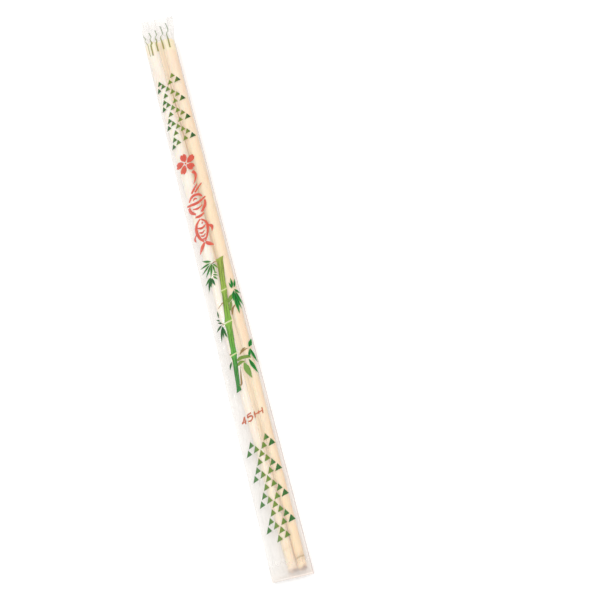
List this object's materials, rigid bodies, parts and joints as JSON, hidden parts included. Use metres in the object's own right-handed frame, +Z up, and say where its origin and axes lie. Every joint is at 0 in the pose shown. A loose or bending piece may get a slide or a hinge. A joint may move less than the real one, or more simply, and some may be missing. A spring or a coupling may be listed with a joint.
{
  "type": "bamboo cooking chopsticks in film sleeve",
  "caption": "Pair of long round tapered bamboo cooking chopsticks lying side by side in a sealed sleeve of clear printed film.",
  "frame": {"origin": "middle of the sleeve's underside, where the pack rests", "axes": "+Y along the sleeve from the tips to the butts, +X across the sleeve towards its snug side, +Z up"},
  "size_m": [0.0314, 0.476, 0.0123],
  "materials": {
    "bamboo": "satin",
    "clear_film": "gloss",
    "green_print": "gloss",
    "red_print": "gloss"
  },
  "bodies": {
    "root": {"chopstick_left": "bamboo", "chopstick_right": "bamboo", "film_sleeve": "clear_film"}
  },
  "joints": []
}
